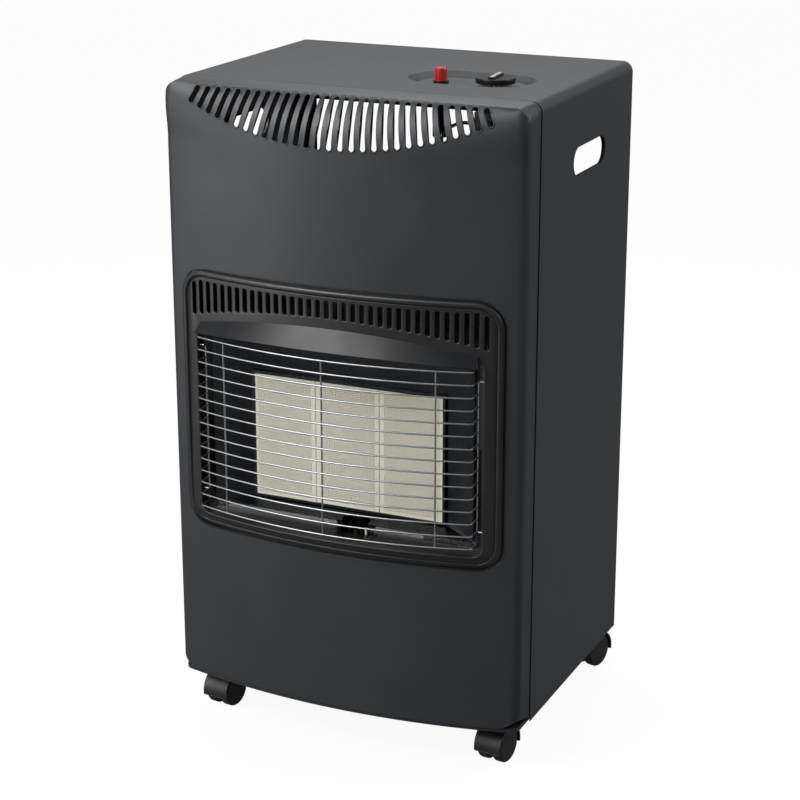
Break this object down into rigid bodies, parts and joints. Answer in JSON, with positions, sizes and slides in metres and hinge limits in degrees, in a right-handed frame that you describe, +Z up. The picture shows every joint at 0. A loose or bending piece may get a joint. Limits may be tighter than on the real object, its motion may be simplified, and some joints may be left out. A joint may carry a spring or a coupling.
{
  "type": "portable gas cabinet heater",
  "caption": "Free-standing steel cabinet heater with ceramic gas burner, wire guard, top controls and swivel casters.",
  "frame": {"origin": "middle of the whole footprint, on the floor under the casters", "axes": "+Z up, +X to the viewer's right when the burner faces the viewer, -Y towards the viewer"},
  "size_m": [0.42, 0.4026, 0.753],
  "materials": {
    "charcoal_enamel": "satin charcoal powder coat",
    "black_enamel": "semi-gloss black enamel",
    "gloss_black_enamel": "gloss black enamel",
    "heat_steel": "heat-dulled stainless sheet",
    "galvanised_steel": "zinc-coated sheet",
    "zinc_steel": "zinc-plated steel",
    "plaque_ceramic": "perforated cream ceramic",
    "brass_fitting": "turned brass",
    "cast_alloy": "die-cast",
    "alloy_pipe": "drawn tube",
    "copper_probe": "copper sheath",
    "black_plastic": "moulded black",
    "red_plastic": "moulded red",
    "caster_plastic": "moulded black nylon",
    "chrome_wire": "bright chromed wire"
  },
  "bodies": {
    "cabinet": {"cabinet_wrap": "charcoal_enamel", "front_fascia": "charcoal_enamel", "base_pan": "charcoal_enamel", "heat_partition": "galvanised_steel", "burner_surround": "black_enamel", "heat_deflector": "gloss_black_enamel", "reflector": "heat_steel", "plaque_left": "plaque_ceramic", "plaque_centre": "plaque_ceramic", "plaque_right": "plaque_ceramic", "plaque_frame": "heat_steel", "burner_plenum": "galvanised_steel", "mixing_tubes": "galvanised_steel", "gas_manifold": "galvanised_steel", "injectors": "brass_fitting", "gas_valve": "cast_alloy", "valve_bracket": "galvanised_steel", "igniter_body": "black_plastic", "hose_nozzle": "brass_fitting", "feed_pipe": "alloy_pipe", "pilot_pipe": "alloy_pipe", "pilot_burner": "brass_fitting", "pilot_bracket": "zinc_steel", "thermocouple": "copper_probe", "spark_electrode": "plaque_ceramic", "plenum_mounts": "galvanised_steel", "guard_front": "chrome_wire", "guard_sides": "chrome_wire", "caster_sockets": "zinc_steel"},
    "rear_cover": {"rear_cover": "charcoal_enamel", "cover_screws": "zinc_steel"},
    "valve_spindle": {"valve_spindle": "zinc_steel"},
    "control_knob": {"control_knob": "black_plastic"},
    "ignition_button": {"ignition_button": "red_plastic"},
    "caster_front_left": {"caster_hood_front_left": "caster_plastic", "caster_axle_front_left": "zinc_steel", "caster_stem_front_left": "zinc_steel"},
    "wheel_front_left_a": {"wheel_front_left_a": "caster_plastic"},
    "wheel_front_left_b": {"wheel_front_left_b": "caster_plastic"},
    "caster_front_right": {"caster_hood_front_right": "caster_plastic", "caster_axle_front_right": "zinc_steel", "caster_stem_front_right": "zinc_steel"},
    "wheel_front_right_a": {"wheel_front_right_a": "caster_plastic"},
    "wheel_front_right_b": {"wheel_front_right_b": "caster_plastic"},
    "caster_rear_left": {"caster_hood_rear_left": "caster_plastic", "caster_axle_rear_left": "zinc_steel", "caster_stem_rear_left": "zinc_steel"},
    "wheel_rear_left_a": {"wheel_rear_left_a": "caster_plastic"},
    "wheel_rear_left_b": {"wheel_rear_left_b": "caster_plastic"},
    "caster_rear_right": {"caster_hood_rear_right": "caster_plastic", "caster_axle_rear_right": "zinc_steel", "caster_stem_rear_right": "zinc_steel"},
    "wheel_rear_right_a": {"wheel_rear_right_a": "caster_plastic"},
    "wheel_rear_right_b": {"wheel_rear_right_b": "caster_plastic"}
  },
  "joints": [
    {"name": "cover_lift_off", "type": "slide", "parent": "cabinet", "child": "rear_cover", "axis": [0, 1, 0], "range_m": [0, 0.12]},
    {"name": "knob_turn", "type": "hinge", "parent": "cabinet", "child": "valve_spindle", "pos_m": [0.118, -0.01239, 0.718], "axis": [0, 0, 1], "range_deg": [-180, 0]},
    {"name": "knob_push", "type": "slide", "parent": "valve_spindle", "child": "control_knob", "axis": [0, 0, -1], "range_m": [0, 0.0035], "stiffness_N_per_m": 900, "springref_m": -0.002},
    {"name": "igniter_push", "type": "slide", "parent": "cabinet", "child": "ignition_button", "axis": [0, 0, -1], "range_m": [0, 0.006], "stiffness_N_per_m": 1200, "springref_m": -0.002},
    {"name": "swivel_front_left", "type": "hinge", "parent": "cabinet", "child": "caster_front_left", "pos_m": [-0.172, -0.08339, 0.056], "axis": [0, 0, 1], "continuous": true},
    {"name": "roll_front_left_a", "type": "hinge", "parent": "caster_front_left", "child": "wheel_front_left_a", "pos_m": [-0.17492, -0.10721, 0.02], "axis": [0.9925, -0.1219, 0], "continuous": true},
    {"name": "roll_front_left_b", "type": "hinge", "parent": "caster_front_left", "child": "wheel_front_left_b", "pos_m": [-0.17492, -0.10721, 0.02], "axis": [0.9925, -0.1219, 0], "continuous": true},
    {"name": "swivel_front_right", "type": "hinge", "parent": "cabinet", "child": "caster_front_right", "pos_m": [0.172, -0.08339, 0.056], "axis": [0, 0, 1], "continuous": true},
    {"name": "roll_front_right_a", "type": "hinge", "parent": "caster_front_right", "child": "wheel_front_right_a", "pos_m": [0.16883, -0.10718, 0.02], "axis": [0.9912, -0.1323, 0], "continuous": true},
    {"name": "roll_front_right_b", "type": "hinge", "parent": "caster_front_right", "child": "wheel_front_right_b", "pos_m": [0.16883, -0.10718, 0.02], "axis": [0.9912, -0.1323, 0], "continuous": true},
    {"name": "swivel_rear_left", "type": "hinge", "parent": "cabinet", "child": "caster_rear_left", "pos_m": [-0.172, 0.15061, 0.056], "axis": [0, 0, 1], "continuous": true},
    {"name": "roll_rear_left_a", "type": "hinge", "parent": "caster_rear_left", "child": "wheel_rear_left_a", "pos_m": [-0.16866, 0.17438, 0.02], "axis": [-0.9903, 0.1392, 0], "continuous": true},
    {"name": "roll_rear_left_b", "type": "hinge", "parent": "caster_rear_left", "child": "wheel_rear_left_b", "pos_m": [-0.16866, 0.17438, 0.02], "axis": [-0.9903, 0.1392, 0], "continuous": true},
    {"name": "swivel_rear_right", "type": "hinge", "parent": "cabinet", "child": "caster_rear_right", "pos_m": [0.172, 0.15061, 0.056], "axis": [0, 0, 1], "continuous": true},
    {"name": "roll_rear_right_a", "type": "hinge", "parent": "caster_rear_right", "child": "wheel_rear_right_a", "pos_m": [0.17821, 0.17379, 0.02], "axis": [-0.9659, 0.2588, 0], "continuous": true},
    {"name": "roll_rear_right_b", "type": "hinge", "parent": "caster_rear_right", "child": "wheel_rear_right_b", "pos_m": [0.17821, 0.17379, 0.02], "axis": [-0.9659, 0.2588, 0], "continuous": true}
  ]
}
